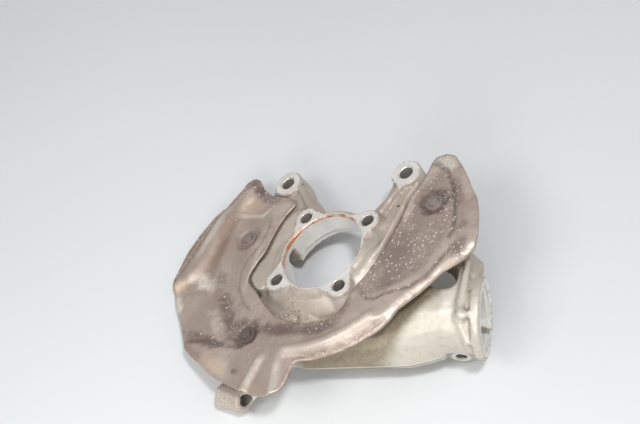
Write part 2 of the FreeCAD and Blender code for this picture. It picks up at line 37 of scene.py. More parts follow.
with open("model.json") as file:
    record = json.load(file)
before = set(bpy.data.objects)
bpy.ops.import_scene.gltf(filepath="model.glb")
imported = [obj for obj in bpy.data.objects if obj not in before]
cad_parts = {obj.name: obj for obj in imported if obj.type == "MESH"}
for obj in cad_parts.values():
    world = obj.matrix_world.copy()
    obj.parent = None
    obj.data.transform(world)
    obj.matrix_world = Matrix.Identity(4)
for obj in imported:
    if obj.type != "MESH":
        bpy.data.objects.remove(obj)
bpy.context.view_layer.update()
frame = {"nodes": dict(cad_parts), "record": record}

MM = 0.001
MOUNTS = {mount["name"]: mount for mount in frame["record"]["mounts"]}
HUB_AXIS = Vector(MOUNTS["hub_bore"]["axis"])
TILT = math.atan2(-HUB_AXIS.x, HUB_AXIS.z)
HUB = Matrix.Rotation(-TILT, 4, "Y")
HUB_BACK = HUB.inverted()
TABLE_HEIGHT = min(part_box(node)[0].z for node in frame["nodes"])


def mount_place(name):
    """The mount's point in millimetres and its axis, in the row frame."""
    mount = MOUNTS[name]
    return Vector(mount["pos_m"]) / MM, Vector(mount["axis"]).normalized()


def hub_coordinates(points_m):
    """Points in metres of the row frame as an array of millimetres of the hub frame."""
    turn = np.array(HUB_BACK.to_3x3())
    return (points_m @ turn.T) / MM


def row_coordinates(points_mm):
    """The other way round."""
    turn = np.array(HUB.to_3x3())
    return (points_mm @ turn.T) * MM


def vertex_array(mesh):
    flat = np.zeros(len(mesh.vertices) * 3)
    mesh.vertices.foreach_get("co", flat)
    return flat.reshape(-1, 3)


def new_object(name, mesh):
    obj = bpy.data.objects.new(name, mesh)
    bpy.context.scene.collection.objects.link(obj)
    return obj


def set_smooth(mesh):
    mesh.polygons.foreach_set("use_smooth", [True] * len(mesh.polygons))


def set_attribute(mesh, name, values):
    attribute = mesh.attributes.get(name) or mesh.attributes.new(name, "FLOAT", "POINT")
    attribute.data.foreach_set("value", np.asarray(values, np.float32))


# Shapes of falloff used everywhere

def smoothstep(low, high, value):
    t = np.clip((value - low) / (high - low), 0, 1)
    return t * t * (3 - 2 * t)


def along_polyline(points, line):
    """Distance to the polyline, the side (+1 to its left) and the share of its length, for each point."""
    line = np.array(line, float)
    best = np.full(len(points), 1e9)
    side = np.zeros(len(points))
    share = np.zeros(len(points))
    lengths = np.linalg.norm(np.diff(line, axis=0), axis=1)
    starts = np.concatenate([[0], np.cumsum(lengths)])
    for i in range(len(line) - 1):
        run = line[i + 1] - line[i]
        offset = points - line[i]
        t = np.clip(offset @ run / (run @ run), 0, 1)
        gap = offset - t[:, None] * run
        distance = np.linalg.norm(gap, axis=1)
        nearer = distance < best
        best[nearer] = distance[nearer]
        side[nearer] = np.sign(run[0] * offset[nearer, 1] - run[1] * offset[nearer, 0])
        share[nearer] = (starts[i] + t[nearer] * lengths[i]) / starts[-1]
    return best, side, share


def inside_polygon(points, polygon):
    polygon = np.array(polygon, float)
    inside = np.zeros(len(points), bool)
    for a, b in zip(polygon, np.roll(polygon, -1, axis=0)):
        crosses = (a[1] > points[:, 1]) != (b[1] > points[:, 1])
        with np.errstate(divide="ignore", invalid="ignore"):
            x = a[0] + (points[:, 1] - a[1]) / (b[1] - a[1]) * (b[0] - a[0])
        inside ^= crosses & (points[:, 0] < x)
    return inside


def depth_inside(points, polygon):
    """Signed distance to the closed polygon, positive inside."""
    closed = [tuple(p) for p in polygon] + [tuple(polygon[0])]
    distance, _, _ = along_polyline(points, closed)
    return np.where(inside_polygon(points, polygon), distance, -distance)


def waves(points, size, seed):
    """Smooth made-up unevenness between about -1 and 1, from a few sine waves."""
    random = np.random.default_rng(seed)
    total = np.zeros(len(points))
    for _ in range(7):
        direction = random.normal(size=points.shape[1])
        direction /= np.linalg.norm(direction)
        length = size * random.uniform(0.6, 1.7)
        total += np.sin(points @ direction * 2 * math.pi / length + random.uniform(0, 6.3))
    return total / 3.2


# Dust shield: one pressed sheet, drawn as a fine mesh over the outline that the CAD sheet has

SHEET = 1.8
SHIELD_PLANE = -5.0
GRID_STEP = 1.7

SCREWS = [(-111.0, 13.0), (-50.0, -101.0), (101.0, 69.0)]
# Lines and areas of the pressing, as x and y in the plane of the sheet
LOWER_RIDGE = [(-2, -116), (8, -113), (29, -107), (49, -98), (66, -86), (80, -72), (92, -59)]
UNDER_RIDGE = [(20, -119), (40, -112), (58, -103), (75, -91), (90, -76), (102, -62)]
RIM_TURN = [(166, 50), (166, 22), (158, 6), (141, -11), (125, -33), (110, -54), (104, -66), (96, -78),
            (78, -94), (59, -107), (41, -117), (28, -124)]
RIGHT_RECESS = [(88, 112), (98, 114), (106, 104), (118, 86), (128, 64), (132, 40), (128, 18), (122, -4),
                (104, -26), (86, -36), (70, -42), (44, -40), (50, -14), (56, 14), (60, 40), (66, 68)]
LEFT_VALLEY = [(-98, 72), (-92, 44), (-94, 20), (-98, 0), (-98, -22), (-86, -42), (-70, -62), (-46, -78),
               (-34, -94), (-34, -110), (-62, -118), (-84, -108), (-96, -80), (-110, -60), (-120, -36),
               (-128, -4), (-132, 30), (-134, 58), (-124, 76)]
LEFT_FLANGE = [(-132, 104), (-170, 86), (-200, 16), (-212, -20), (-214, -80), (-190, -74), (-168, -56),
               (-153, -34), (-149, -4), (-147, 24), (-134, 66)]
LEFT_CREASE = [(-178, -60), (-171, -37), (-168, -10), (-165, 14), (-163, 33), (-156, 50), (-146, 66)]
BROWN_VALLEY = [(-142, 60), (-145, 41), (-144, 17), (-142, -13), (-133, -39), (-118, -51), (-93, -78),
                (-72, -98)]
BOTTOM_CREASE = [(-128, -119), (-97, -114), (-78, -116), (-42, -116)]
LOWER_PLANE = [(-128, -60), (-104, -80), (-84, -100), (-80, -111), (-98, -110), (-122, -114), (-140, -96),
               (-160, -78), (-150, -64)]
# Line of a low band above the lower ridge, darkened partly by dirt and partly by painted shade on its slope
SHADE_AND_DIRT_BAND = [(-53, -97), (-30, -91), (2, -90), (30, -85), (47, -72)]
CREAM_LINE = [(-140, 40), (-131, 43), (-107, 44), (-94, 60)]
RIGHT_CREASE = [(84, 119), (103, 108), (116, 89), (127, 65), (134, 44), (134, 24)]
RECESS_FOOT = [(60, -38), (72, -47), (81, -47), (89, -40), (113, -30), (125, -18), (132, -4), (142, 20)]
INNER_CREASE = [(-94, 46), (-88, 30), (-87, 8), (-95, -14), (-96, -31), (-91, -48), (-73, -66), (-52, -78)]
LOBE_RIBS = [[(-14, -116), (-17, -128), (-19, -146), (-21, -180)],
             [(3, -118), (5, -126), (10, -142), (19, -180)]]
# How dark the ring in each screw's dimple is painted, in the order of SCREWS
SCREW_RING_DARKNESS = [0.35, 0.75, 1.0]

# Tints on the sheet, each given as x, y, half axes, turn in degrees and strength of the patch: stains and
# rust, and pale patches that are partly worn spots and partly painted highlights
PATCHES = {
    "dark": [(-146, 95, 12, 7, 60, 0.8), (-128, 78, 20, 7, -30, 1.0), (-106, 67, 16, 6, -15, 0.8),
             (-54, -98, 27, 18, 5, 1.0), (-100, -114, 32, 8, -6, 1.0), (-12, -91, 34, 9, 2, 0.9),
             (32, -84, 26, 8, 25, 0.8), (51, -60, 7, 18, -5, 0.7), (-42, -143, 5, 4, 0, 0.8),
             (-90, -76, 30, 8, -52, 0.8), (-118, -43, 20, 7, -60, 0.5), (124, 80, 7, 26, 22, 0.6),
             (146, 24, 9, 26, 12, 0.75), (84, 0, 24, 38, 10, 0.5)],
    "rusty": [(-175, 4, 40, 8, 86, 1.0), (-141, 6, 42, 9, 96, 0.9), (-156, -90, 16, 5, -55, 0.3),
              (-106, -130, 17, 6, -22, 0.9), (138, 64, 9, 20, 20, 0.5)],
    "pale": [(-136, -47, 22, 10, -9, 1.0), (-158, -78, 6, 17, 30, 0.9), (100, 118, 16, 10, -30, 0.7),
             (132, 88, 6, 22, 25, 0.3), (-159, 14, 38, 5, 88, 0.5), (-60, -142, 20, 9, -18, 0.3),
             (-82, -24, 30, 4, 95, 0.45), (75, 66, 5, 28, 4, 0.5), (-84, 52, 14, 8, 30, 0.3),
             (-92, -94, 20, 8, -50, 0.4)],
    "peach": [(-72, -140, 24, 8, -18, 0.9), (-127, 54, 20, 12, 0, 0.8), (-164, -58, 13, 7, -30, 0.9),
              (-148, -32, 20, 6, 85, 0.3)],
}


def ridge(points, line, height, half_width, taper=0.12):
    """A rounded ridge along the line that dies away at both ends."""
    distance, _, share = along_polyline(points, line)
    across = 0.5 + 0.5 * np.cos(math.pi * np.clip(distance / half_width, 0, 1))
    ends = smoothstep(0, taper, share) * smoothstep(0, taper, 1 - share)
    return height * across * (0.15 + 0.85 * ends)


def pressed_height(points):
    """Height of the shield's top surface at each point of the plan, and the named masks for its paint."""
    height = np.full(len(points), SHIELD_PLANE)
    recess = smoothstep(-3, 9, depth_inside(points, RIGHT_RECESS))
    height -= 3.5 * recess
    valley = smoothstep(-3, 10, depth_inside(points, LEFT_VALLEY))
    height -= 2.4 * valley
    flange = smoothstep(-8, 5, depth_inside(points, LEFT_FLANGE))
    height += 5.4 * flange
    outward, way, _ = along_polyline(points, LEFT_CREASE)
    outer = flange * (way > 0)
    height -= 3.0 * smoothstep(0, 12, outward) * outer
    left_line = ridge(points, LEFT_CREASE, 1.0, 3.5, 0.05)
    brown = ridge(points, BROWN_VALLEY, 1.0, 11, 0.1)
    height -= 0.8 * left_line + 1.2 * brown
    lower_plane = smoothstep(-2, 5, depth_inside(points, LOWER_PLANE))
    height += 2.2 * lower_plane
    bottom = ridge(points, BOTTOM_CREASE, 1.0, 5.5)
    sharp = ridge(points, RIGHT_CREASE, 1.0, 5.0, 0.05)
    foot = ridge(points, RECESS_FOOT, 1.0, 4.2, 0.06)
    inner = ridge(points, INNER_CREASE, 1.0, 3.2)
    band = ridge(points, SHADE_AND_DIRT_BAND, 1.0, 9)
    height -= 1.8 * bottom + 1.4 * sharp + 1.0 * foot + 1.2 * inner + 1.2 * band
    cream = ridge(points, CREAM_LINE, 1.0, 5)
    crest = ridge(points, LOWER_RIDGE, 1.0, 10, 0.1)
    groove = ridge(points, UNDER_RIDGE, 1.0, 3.2)
    height += 1.0 * cream + 4.6 * crest - 1.3 * groove
    ribs = np.zeros(len(points))
    for line in LOBE_RIBS:
        ribs = np.maximum(ribs, ridge(points, line, 1.0, 7.5, 0.2))
    height += 2.8 * ribs
    rim, _, share = along_polyline(points, RIM_TURN)
    ends = smoothstep(0, 0.15, share) * smoothstep(0, 0.06, 1 - share)
    turn = 1 - np.clip(rim / 9.5, 0, 1)
    height -= 6.2 * turn ** 1.4 * ends
    height += 0.3 * waves(points, 70, 3)
    stain = np.zeros(len(points))
    for centre, strength in zip(SCREWS, SCREW_RING_DARKNESS):
        radius = np.linalg.norm(points - np.array(centre), axis=1)
        lip = smoothstep(16.0, 10.0, radius)
        height = height * (1 - lip) + (SHIELD_PLANE - 5.0) * lip
        ring = smoothstep(18.5, 14.0, radius + 1.5 * waves(points, 9, 21)) * smoothstep(6, 9, radius)
        stain = np.maximum(stain, strength * ring)
    # Painted shade along the creases and in the groove under the lower ridge
    creases = sharp + 0.85 * foot + 0.5 * inner + 0.8 * bottom + 0.5 * left_line + 0.6 * groove
    masks = {
        "recess": recess,
        "valley": valley,
        "mottled": outer,
        "stain": stain,
        "crease": np.clip(creases, 0, 1),
        "band": band,
        "brown": brown,
    }
    for name, patches in PATCHES.items():
        masks[name] = patched(points, patches)
    # The pale paint also runs along the cream line, the lobe ribs and the lower ridge's crest: painted
    # highlights
    masks["pale"] = np.clip(masks["pale"] + 0.5 * cream + 0.65 * ribs + 0.4 * crest * (1 - groove), 0, 1)
    return height, masks


def patched(points, patches):
    """1 in the middle of each soft, uneven oval patch, given as centre, half axes, turn and strength."""
    mask = np.zeros(len(points))
    uneven = 0.22 * waves(points, 24, 31) + 0.12 * waves(points, 9, 33)
    for x, y, long, short, turn, strength in patches:
        angle = math.radians(turn)
        along = (points[:, 0] - x) * math.cos(angle) + (points[:, 1] - y) * math.sin(angle)
        across = (points[:, 1] - y) * math.cos(angle) - (points[:, 0] - x) * math.sin(angle)
        reach = np.hypot(along / long, across / short) + uneven
        mask = np.maximum(mask, strength * smoothstep(1.25, 0.45, reach))
    return mask


def sheet_contours(mesh):
    """The closed plan contours of the CAD sheet: where its upright edge faces meet its top surface."""
    bm = bmesh.new()
    bm.from_mesh(mesh)
    bmesh.ops.remove_doubles(bm, verts=bm.verts, dist=1e-6)
    upright = HUB_AXIS
    links = {}
    places = {}
    for edge in bm.edges:
        if len(edge.link_faces) != 2:
            continue
        lean = sorted(face.normal.dot(upright) for face in edge.link_faces)
        if abs(lean[0]) < 0.06 and lean[1] > 0.2:
            a, b = edge.verts
            links.setdefault(a.index, []).append(b.index)
            links.setdefault(b.index, []).append(a.index)
            places[a.index] = a.co.copy()
            places[b.index] = b.co.copy()
    bm.free()
    loops = []
    unused = set(links)
    while unused:
        start = unused.pop()
        loop = [start]
        here = start
        while True:
            following = [i for i in links[here] if i in unused]
            if not following:
                break
            here = following[0]
            unused.discard(here)
            loop.append(here)
        loops.append(hub_coordinates(np.array([places[i] for i in loop]))[:, :2])
    return [loop for loop in loops if len(loop) > 6]


def softened(loop, shares):
    """The closed contour with its corners cut off once for each share of a side."""
    for share in shares:
        after = np.roll(loop, -1, axis=0)
        loop = np.stack([(1 - share) * loop + share * after, share * loop + (1 - share) * after], axis=1)
        loop = loop.reshape(-1, 2)
    return loop


def respaced(loop, step):
    closed = np.vstack([loop, loop[:1]])
    lengths = np.concatenate([[0], np.cumsum(np.linalg.norm(np.diff(closed, axis=0), axis=1))])
    count = max(12, int(lengths[-1] / step))
    stations = np.linspace(0, lengths[-1], count, endpoint=False)
    return np.stack([np.interp(stations, lengths, closed[:, k]) for k in (0, 1)], axis=1)


def make_shield(node):
    loops = sorted(sheet_contours(node.data), key=len, reverse=True)
    spans = [np.ptp(loop, axis=0).sum() for loop in loops]
    outline = respaced(softened(loops[int(np.argmax(spans))], (0.14, 0.25, 0.25)), GRID_STEP)
    holes = [np.array([[x + 3.5 * math.cos(a), y + 3.5 * math.sin(a)]
                       for a in np.linspace(0, 2 * math.pi, 18, endpoint=False)]) for x, y in SCREWS]
    low = outline.min(axis=0)
    high = outline.max(axis=0)
    rows = np.arange(low[1], high[1], GRID_STEP * 0.866)
    grid = np.array([(x + (i % 2) * GRID_STEP / 2, y) for i, y in enumerate(rows)
                     for x in np.arange(low[0], high[0], GRID_STEP)])
    keep = depth_inside(grid, outline) > GRID_STEP * 0.6
    for centre in SCREWS:
        keep &= np.linalg.norm(grid - np.array(centre), axis=1) > 3.5 + GRID_STEP * 0.5
    grid = grid[keep]
    points = [Vector(p) for p in np.vstack([outline] + holes + [grid])]
    edges = []
    start = 0
    for loop in [outline] + holes:
        edges += [(start + i, start + (i + 1) % len(loop)) for i in range(len(loop))]
        start += len(loop)
    plan, _, faces, _, _, _ = geometry.delaunay_2d_cdt(points, edges, [], 0, 1e-4)
    plan = np.array([tuple(p) for p in plan])
    middles = np.array([plan[list(face)].mean(axis=0) for face in faces])
    inside = inside_polygon(middles, outline)
    for centre in SCREWS:
        inside &= np.linalg.norm(middles - np.array(centre), axis=1) > 3.3
    faces = [tuple(face) for face, good in zip(faces, inside) if good]

    height, masks = pressed_height(plan)
    upper = np.column_stack([plan, height])
    lower = np.column_stack([plan, height - SHEET])
    count = len(plan)
    walls = {}
    for face in faces:
        for a, b in zip(face, face[1:] + face[:1]):
            if (b, a) in walls:
                del walls[(b, a)]
            else:
                walls[(a, b)] = True
    rim = [(a, a + count, b + count, b) for a, b in walls]
    under = [tuple(i + count for i in reversed(face)) for face in faces]
    mesh = bpy.data.meshes.new("shield_sheet")
    mesh.from_pydata(row_coordinates(np.vstack([upper, lower])).tolist(), [], faces + under + rim)
    mesh.validate()
    set_smooth(mesh)
    edge_distance = np.abs(depth_inside(plan, outline))
    masks["edge"] = smoothstep(7, 0, edge_distance)
    for name, values in masks.items():
        set_attribute(mesh, name, np.concatenate([values, values]))
    shield = new_object("shield_sheet", mesh)
    return shield


# Knuckle: the CAD casting taken over as a fine even mesh, rounded like a casting, then machined again

BOLT_CIRCLE = MOUNTS["hub_bolts"]["dims"]["pcd_mm"]
HUB_BOLTS = [(math.cos(a) * BOLT_CIRCLE / 2, math.sin(a) * BOLT_CIRCLE / 2)
             for a in (math.radians(45 + 90 * k) for k in range(4))]
EAR_FACE = -5.0
CLAMP_POINT_DEPTH = 20.0
# Depth of the machined skin under the cast faces, and room between the scene's bores and the solid's
SKIN = 0.15
CLEARANCE = 0.1
VOXEL = 1.75
CAST_ROUNDS = 14
ARM_ROUNDS = 60
# Rough spots of the casting, given like the patches of the sheet
CAST_PATCHES = {
    "rough": [(-12, -70, 27, 17, 0, 0.8), (-60, -158, 22, 16, 0, 0.5)],
}


def relaxed(points, edges, weights, rounds):
    """Rounds the surface off: each vertex moves towards its neighbours by its weight, without shrinking."""
    count = len(points)
    degree = np.bincount(edges.ravel(), minlength=count)[:, None]
    for _ in range(rounds):
        for strength in (0.55, -0.57):
            total = np.zeros_like(points)
            for axis in range(3):
                total[:, axis] = (np.bincount(edges[:, 0], points[edges[:, 1], axis], count)
                                  + np.bincount(edges[:, 1], points[edges[:, 0], axis], count))
            points = points + strength * weights[:, None] * (total / degree - points)
    return points


def near_cylinder(points, centre, axis, radius, low, high, soft):
    """1 inside a cylinder that runs from low to high along its axis, falling to 0 over the soft distance."""
    offset = points - np.array(centre)
    along = offset @ np.array(axis)
    radial = np.linalg.norm(offset - along[:, None] * np.array(axis), axis=1)
    outside = np.maximum.reduce([radial - radius, low - along, along - high])
    return smoothstep(soft, 0, outside)


def make_casting(node):
    mesh = node.data.copy()
    casting = new_object("knuckle_casting", mesh)
    remesh = casting.modifiers.new("even", "REMESH")
    remesh.mode = "VOXEL"
    remesh.voxel_size = VOXEL * MM
    depsgraph = bpy.context.evaluated_depsgraph_get()
    mesh = bpy.data.meshes.new_from_object(casting.evaluated_get(depsgraph))
    casting.modifiers.clear()
    casting.data = mesh
    row_points = vertex_array(mesh) / MM
    points = hub_coordinates(row_points * MM)
    edges = np.zeros(len(mesh.edges) * 2, int)
    mesh.edges.foreach_get("vertices", edges)
    edges = edges.reshape(-1, 2)

    machined = np.zeros(len(points))
    machined = np.maximum(machined, near_cylinder(points, (0, 0, 0), (0, 0, 1), 50, -40, 4, 2))
    for x, y in HUB_BOLTS:
        machined = np.maximum(machined, near_cylinder(points, (x, y, 0), (0, 0, 1), 12.5, -3, 4, 3))
    for name in ("caliper_ear_left", "caliper_ear_right"):
        place, _ = mount_place(name)
        x, y, _ = hub_coordinates(np.array([place]) * MM)[0]
        machined = np.maximum(machined, near_cylinder(points, (x, y, 0), (0, 0, 1), 17, -16, 0, 4))
    mouth, axis = mount_place("strut_clamp")
    mouth = mouth + axis * CLAMP_POINT_DEPTH
    machined = np.maximum(machined, near_cylinder(row_points, mouth, -axis, 41, -2, 10, 4))
    pinch, axis = mount_place("pinch_bolt")
    half = MOUNTS["pinch_bolt"]["dims"]["length_mm"] / 2
    for way in (1, -1):
        end = pinch + axis * way * half
        machined = np.maximum(machined, near_cylinder(row_points, end, axis, 15, -2, 2, 3))
    arm = smoothstep(30, 60, row_points[:, 0]) * smoothstep(150, 140, row_points[:, 0])
    arm *= 1 - near_cylinder(points, (0, 0, 0), (0, 0, 1), 62, -60, 20, 12)
    free = 1 - machined
    around_hub = near_cylinder(points, (0, 0, 0), (0, 0, 1), 92, -60, -4, 6)
    points = relaxed(points, edges, free, CAST_ROUNDS)
    points = relaxed(points, edges, free * np.maximum(arm, 0.8 * around_hub), ARM_ROUNDS)
    points[:, 2] += 0.25 * free * waves(points, 26, 11)
    low, high = (np.array(corner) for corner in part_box(node.name))
    row_points = np.clip(row_coordinates(points), low + 0.05 * MM, high - 0.05 * MM)
    mesh.vertices.foreach_set("co", row_points.ravel())
    mesh.update()
    set_smooth(mesh)
    east = row_points[:, 0] / MM
    set_attribute(mesh, "pale", smoothstep(40, 80, east) * smoothstep(30, -10, points[:, 1]))
    set_attribute(mesh, "arm_side", smoothstep(0, 12, east) * smoothstep(-35, -45, points[:, 1]))
    # Painted shadow of the shield's lower rim on the arm beneath it
    distance, way, _ = along_polyline(points[:, :2], RIM_TURN)
    low_on_arm = smoothstep(-14, -20, points[:, 2]) * smoothstep(10, 25, east) * smoothstep(150, 130, east)
    set_attribute(mesh, "olive", smoothstep(-2, 8, -way * distance) * low_on_arm)
    for name, patches in CAST_PATCHES.items():
        set_attribute(mesh, name, patched(points[:, :2], patches))
    return casting


def turned(name, profile, matrix, segments=96, shaded_below=None):
    """A solid turned about its own Z from (radius, height) points, from the top of the axis to its foot.

    Faces below the height given as the last argument take the second material, a hole wall darkened by
    painted shade.
    """
    bm = bmesh.new()
    rings = []
    for radius, height in profile:
        if radius == 0:
            rings.append([bm.verts.new((0, 0, height))])
        else:
            rings.append([bm.verts.new((radius * math.cos(a), radius * math.sin(a), height))
                          for a in (2 * math.pi * k / segments for k in range(segments))])
    for upper, lower in zip(rings, rings[1:]):
        for k in range(segments):
            following = (k + 1) % segments
            if len(upper) == 1:
                bm.faces.new((upper[0], lower[k], lower[following]))
            elif len(lower) == 1:
                bm.faces.new((upper[k], lower[0], upper[following]))
            else:
                bm.faces.new((upper[k], lower[k], lower[following], upper[following]))
    bmesh.ops.recalc_face_normals(bm, faces=bm.faces)
    if shaded_below is not None:
        for face in bm.faces:
            face.material_index = int(face.calc_center_median().z < shaded_below)
    bm.transform(Matrix.Scale(MM, 4) @ matrix)
    mesh = bpy.data.meshes.new(name)
    bm.to_mesh(mesh)
    bm.free()
    return mesh


def facing(place, axis):
    """The matrix that stands a turned piece at the place, with its own Z along the axis."""
    return Matrix.Translation(place) @ Vector(axis).to_track_quat("Z", "Y").to_matrix().to_4x4()


def drill(radius, depth, lip=0.8, above=6.0, face=0.0):
    """Profile of a drill with a countersink, and of a facing cut of that radius round its mouth."""
    top = [(0, above)]
    if face:
        top += [(face, above), (face, -SKIN), (radius + lip, -SKIN)]
    else:
        top += [(radius + lip, above), (radius + lip, -SKIN)]
    return top + [(radius, -SKIN - lip), (radius, -depth), (0, -depth)]


def machining_cuts():
    """Two sets of cutters. Those of one set don't touch each other."""
    first = []
    second = []
    bore = MOUNTS["hub_bore"]["dims"]["r_mm"] + CLEARANCE
    relief = bore + 2.7
    depth = MOUNTS["hub_bore"]["dims"]["length_mm"]
    hub_profile = [(0, 12), (71, 12), (71, -SKIN), (bore + 1.4, -SKIN), (bore, -SKIN - 1.4), (bore, -depth),
                   (relief, -depth - 1.0), (relief, -88), (0, -88)]
    first.append(turned("hub_cut", hub_profile, facing(Vector(), HUB_AXIS), 160))
    for x, y in HUB_BOLTS:
        place = HUB @ Vector((x, y, 0))
        radius = MOUNTS["hub_bolts"]["dims"]["hole_r_mm"] + CLEARANCE
        second.append(turned("bolt_cut", drill(radius, 60), facing(place, HUB_AXIS), 96, -1.2))
    for name in ("caliper_ear_left", "caliper_ear_right"):
        place, axis = mount_place(name)
        place = place + axis * (EAR_FACE - (HUB_BACK @ place).z)
        radius = MOUNTS[name]["dims"]["r_mm"] + CLEARANCE
        first.append(turned("ear_cut", drill(radius, 60, 0.9, 8, 18.5), facing(place, axis), 96, -1.4))
    middle, axis = mount_place("strut_clamp")
    radius = MOUNTS["strut_clamp"]["dims"]["r_mm"] + CLEARANCE
    clamp_profile = [(0, 8), (43, 8), (43, -SKIN), (radius + 3.2, -SKIN), (radius + 2, -SKIN - 1.2),
                     (radius + 2, -4), (radius, -5.4), (radius, -69), (0, -69)]
    first.append(turned("clamp_cut", clamp_profile, facing(middle + axis * CLAMP_POINT_DEPTH, axis), 128))
    for name, face in (("pinch_bolt", 9.5), ("tie_rod", 0), ("ball_joint", 0)):
        place, axis = mount_place(name)
        dims = MOUNTS[name]["dims"]
        for way in (1, -1):
            mouth = place + axis * way * dims["length_mm"] / 2
            profile = drill(dims["r_mm"] + CLEARANCE, dims["length_mm"] * 0.6, 0.8, 6.0, face)
            second.append(turned(name + "_cut", profile, facing(mouth, axis * way), 48, -1.2))
    return first, second


def joined(name, meshes, materials):
    bm = bmesh.new()
    for mesh in meshes:
        bm.from_mesh(mesh)
    whole = bpy.data.meshes.new(name)
    bm.to_mesh(whole)
    bm.free()
    for material in materials:
        whole.materials.append(material)
    return new_object(name, whole)


def machine(casting, materials):
    """Cuts the bores, holes and facings crisply, with machined metal on every cut face and painted shade on
    the deeper walls of the holes.
    """
    for meshes in machining_cuts():
        cutter = joined("cutter", meshes, materials)
        cut = casting.modifiers.new("cut", "BOOLEAN")
        cut.operation = "DIFFERENCE"
        cut.object = cutter
        cut.solver = "MANIFOLD"
        cut.material_mode = "TRANSFER"
        depsgraph = bpy.context.evaluated_depsgraph_get()
        mesh = bpy.data.meshes.new_from_object(casting.evaluated_get(depsgraph))
        casting.modifiers.clear()
        casting.data = mesh
        bpy.data.objects.remove(cutter)


# Materials: every colour is linear

def colour(red, green, blue):
    return (red, green, blue, 1.0)


class Paint:
    """The nodes of one material, added one at a time."""

    def __init__(self, name, metallic, roughness):
        self.material = bpy.data.materials.new(name)
        self.material.use_nodes = True
        self.nodes = self.material.node_tree.nodes
        self.links = self.material.node_tree.links
        self.shader = self.nodes["Principled BSDF"]
        self.shader.inputs["Metallic"].default_value = metallic
        self.shader.inputs["Roughness"].default_value = roughness
        self.place = self.nodes.new("ShaderNodeTexCoord").outputs["Object"]

    def put(self, socket, source):
        if hasattr(source, "is_output"):
            self.links.new(source, socket)
        else:
            socket.default_value = source

    def noise(self, size_mm, detail=4.0, roughness=0.55, distortion=0.0, place=None):
        node = self.nodes.new("ShaderNodeTexNoise")
        self.put(node.inputs["Vector"], place or self.place)
        node.inputs["Scale"].default_value = 1000 / size_mm
        node.inputs["Detail"].default_value = detail
        node.inputs["Roughness"].default_value = roughness
        node.inputs["Distortion"].default_value = distortion
        return node.outputs["Fac"]

    def cells(self, size_mm):
        node = self.nodes.new("ShaderNodeTexVoronoi")
        self.put(node.inputs["Vector"], self.place)
        node.inputs["Scale"].default_value = 1000 / size_mm
        chance = self.nodes.new("ShaderNodeSeparateColor")
        self.links.new(node.outputs["Color"], chance.inputs["Color"])
        return node.outputs["Distance"], chance.outputs["Red"]

    def attribute(self, name):
        node = self.nodes.new("ShaderNodeAttribute")
        node.attribute_name = name
        return node.outputs["Fac"]

    def pointiness(self):
        return self.nodes.new("ShaderNodeNewGeometry").outputs["Pointiness"]

    def range(self, source, low, high, to_low=0.0, to_high=1.0):
        node = self.nodes.new("ShaderNodeMapRange")
        node.interpolation_type = "SMOOTHSTEP"
        self.put(node.inputs["Value"], source)
        node.inputs["From Min"].default_value = low
        node.inputs["From Max"].default_value = high
        node.inputs["To Min"].default_value = to_low
        node.inputs["To Max"].default_value = to_high
        return node.outputs["Result"]

    def plain(self, operation, a, b=0.0):
        """Arithmetic without limits."""
        node = self.nodes.new("ShaderNodeMath")
        node.operation = operation
        self.put(node.inputs[0], a)
        self.put(node.inputs[1], b)
        return node.outputs["Value"]

    def math(self, operation, a, b):
        """Arithmetic on shares, kept between 0 and 1."""
        result = self.plain(operation, a, b)
        result.node.use_clamp = True
        return result

    def hub_place(self):
        """The coordinates along the hub frame's axes, in metres."""
        node = self.nodes.new("ShaderNodeVectorRotate")
        node.rotation_type = "Y_AXIS"
        self.links.new(self.place, node.inputs["Vector"])
        node.inputs["Angle"].default_value = TILT
        parts = self.nodes.new("ShaderNodeSeparateXYZ")
        self.links.new(node.outputs["Vector"], parts.inputs["Vector"])
        return parts.outputs["X"], parts.outputs["Y"], parts.outputs["Z"]

    def near_hub_point(self, east, north, inside, outside):
        """1 within the inside distance of an upright line of the hub frame, 0 beyond the outside distance."""
        x, y, _ = self.hub_place()
        across = self.plain("SUBTRACT", x, east)
        up = self.plain("SUBTRACT", y, north)
        squares = self.plain("ADD", self.plain("MULTIPLY", across, across), self.plain("MULTIPLY", up, up))
        return self.range(self.plain("SQRT", squares), inside, outside, 1.0, 0.0)

    def mix(self, share, a, b):
        node = self.nodes.new("ShaderNodeMix")
        node.data_type = "RGBA"
        self.put(node.inputs["Factor"], share)
        self.put(node.inputs["A"], a)
        self.put(node.inputs["B"], b)
        return node.outputs["Result"]

    def bump(self, height, depth_mm, strength=1.0, normal=None):
        node = self.nodes.new("ShaderNodeBump")
        node.inputs["Strength"].default_value = strength
        node.inputs["Distance"].default_value = depth_mm * MM
        self.put(node.inputs["Height"], height)
        if normal:
            self.links.new(normal, node.inputs["Normal"])
        return node.outputs["Normal"]

    def finish(self, base, roughness=None, normal=None):
        self.put(self.shader.inputs["Base Color"], base)
        if roughness:
            self.put(self.shader.inputs["Roughness"], roughness)
        if normal:
            self.put(self.shader.inputs["Normal"], normal)
        return self.material


